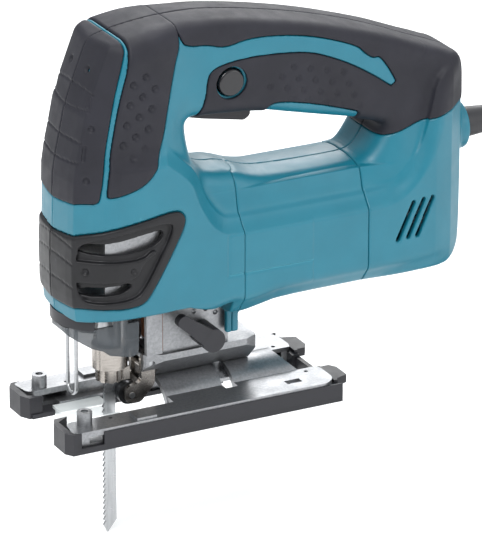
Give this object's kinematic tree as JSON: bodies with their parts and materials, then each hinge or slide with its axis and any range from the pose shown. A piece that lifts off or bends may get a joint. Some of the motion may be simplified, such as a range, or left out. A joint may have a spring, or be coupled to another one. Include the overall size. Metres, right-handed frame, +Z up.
{
  "type": "jigsaw power tool",
  "caption": "D-handle jigsaw with orbital blade roller, tilting slotted base, dust cover, trigger with lock button and a corded motor.",
  "frame": {"origin": "where the plunger axis crosses the underside of the sole", "axes": "+X rearwards towards the cord, -Y towards the tool's left side, +Z up along the plunger"},
  "size_m": [0.382, 0.1305, 0.2758],
  "materials": {
    "teal_plastic": "satin",
    "grip_rubber": "matte",
    "black_plastic": "satin",
    "cast_aluminium": "satin",
    "steel": "satin",
    "dark_steel": "satin",
    "laminated_steel": "matte",
    "nickel": "polished",
    "blade_steel": "satin",
    "bronze": "satin",
    "copper": "satin",
    "carbon": "matte",
    "gasket_fibre": "matte",
    "amber_plastic": "gloss",
    "cord_rubber": "matte",
    "smoky_clear": "gloss",
    "clear_plastic": "gloss"
  },
  "bodies": {
    "housing": {"housing_left": "teal_plastic", "housing_right": "teal_plastic", "motor_housing": "teal_plastic", "nose_grip_left": "grip_rubber", "nose_grip_right": "grip_rubber", "handle_grip_left": "grip_rubber", "handle_grip_right": "grip_rubber", "vent_guard_left": "black_plastic", "vent_guard_right": "black_plastic", "housing_screws": "steel", "gear_housing": "cast_aluminium", "plunger_bushings": "bronze", "gear_shaft": "steel", "base_bracket": "cast_aluminium", "bracket_gasket": "gasket_fibre", "fork_pivot": "steel", "base_bolt": "steel", "front_bearing": "steel", "rear_bearing": "steel", "field_core": "laminated_steel", "field_coils": "copper", "brush_holders": "bronze", "carbon_brushes": "carbon", "trigger_switch": "black_plastic", "trigger_pin": "steel", "noise_capacitor": "amber_plastic", "opener_pin": "steel", "wire_guard": "steel", "cord_guard": "cord_rubber", "cord_clamp": "black_plastic", "power_cord": "cord_rubber", "cord_coil": "cord_rubber", "cord_tie": "black_plastic", "plug_body": "cord_rubber", "plug_pins": "nickel"},
    "armature": {"armature_shaft": "steel", "armature_core": "laminated_steel", "armature_windings": "copper", "commutator": "copper", "cooling_fan": "black_plastic"},
    "crank_gear": {"drive_gear": "steel", "crank_roller": "steel"},
    "plunger": {"plunger_rod": "steel", "blade_clamp": "nickel", "saw_blade": "blade_steel"},
    "clamp_sleeve": {"clamp_sleeve": "nickel"},
    "clamp_opener": {"clamp_opener": "black_plastic"},
    "roller_arm": {"roller_arm": "nickel", "roller_pin": "steel"},
    "roller": {"roller": "dark_steel"},
    "orbit_lever": {"orbit_lever": "black_plastic"},
    "trigger": {"trigger": "black_plastic"},
    "lock_button": {"lock_button": "black_plastic"},
    "dust_cover": {"dust_cover": "smoky_clear"},
    "base": {"base_plate": "cast_aluminium", "base_cover": "black_plastic", "splinter_guard": "clear_plastic", "fence_screws": "steel"}
  },
  "joints": [
    {"name": "armature_spin", "type": "hinge", "parent": "housing", "child": "armature", "pos_m": [0.09, 0, 0.09], "axis": [1, 0, 0], "continuous": true},
    {"name": "gear_spin", "type": "hinge", "parent": "housing", "child": "crank_gear", "pos_m": [0.028, 0, 0.1152], "axis": [1, 0, 0], "continuous": true},
    {"name": "plunger_slide", "type": "slide", "parent": "housing", "child": "plunger", "axis": [0, 0, 1], "range_m": [0, 0.026]},
    {"name": "sleeve_turn", "type": "hinge", "parent": "plunger", "child": "clamp_sleeve", "pos_m": [0, 0, 0.034], "axis": [0, 0, 1], "range_deg": [0, 35], "stiffness_Nm_per_rad": 0.05, "springref_deg": -5.73},
    {"name": "opener_swing", "type": "hinge", "parent": "housing", "child": "clamp_opener", "pos_m": [-0.006, 0.0235, 0.061], "axis": [0, 0, -1], "range_deg": [0, 55], "stiffness_Nm_per_rad": 0.02, "springref_deg": -11.46},
    {"name": "roller_arm_swing", "type": "hinge", "parent": "housing", "child": "roller_arm", "pos_m": [0.0182, 0, 0.0298], "axis": [0, -1, 0], "range_deg": [0, 4]},
    {"name": "roller_spin", "type": "hinge", "parent": "roller_arm", "child": "roller", "pos_m": [0.009, 0, 0.0125], "axis": [0, 1, 0], "continuous": true},
    {"name": "orbit_turn", "type": "hinge", "parent": "housing", "child": "orbit_lever", "pos_m": [0.0455, -0.02, 0.043], "axis": [0, 1, 0], "range_deg": [0, 96]},
    {"name": "trigger_pull", "type": "hinge", "parent": "housing", "child": "trigger", "pos_m": [0.043, 0, 0.164], "axis": [0, -1, 0], "range_deg": [0, 7], "stiffness_Nm_per_rad": 2, "springref_deg": -5.73},
    {"name": "lock_press", "type": "slide", "parent": "housing", "child": "lock_button", "axis": [0, 1, 0], "range_m": [0, 0.003], "stiffness_N_per_m": 300, "springref_m": -0.002},
    {"name": "dust_cover_slide", "type": "slide", "parent": "housing", "child": "dust_cover", "axis": [0, 0, -1], "range_m": [0, 0.0038]},
    {"name": "bevel_tilt", "type": "hinge", "parent": "housing", "child": "base", "pos_m": [0.04, 0, 0], "axis": [1, 0, 0], "range_deg": [-45, 45]}
  ],
  "couplings": [
    {"joint": "armature_spin", "follows": "gear_spin", "ratio": -8}
  ]
}
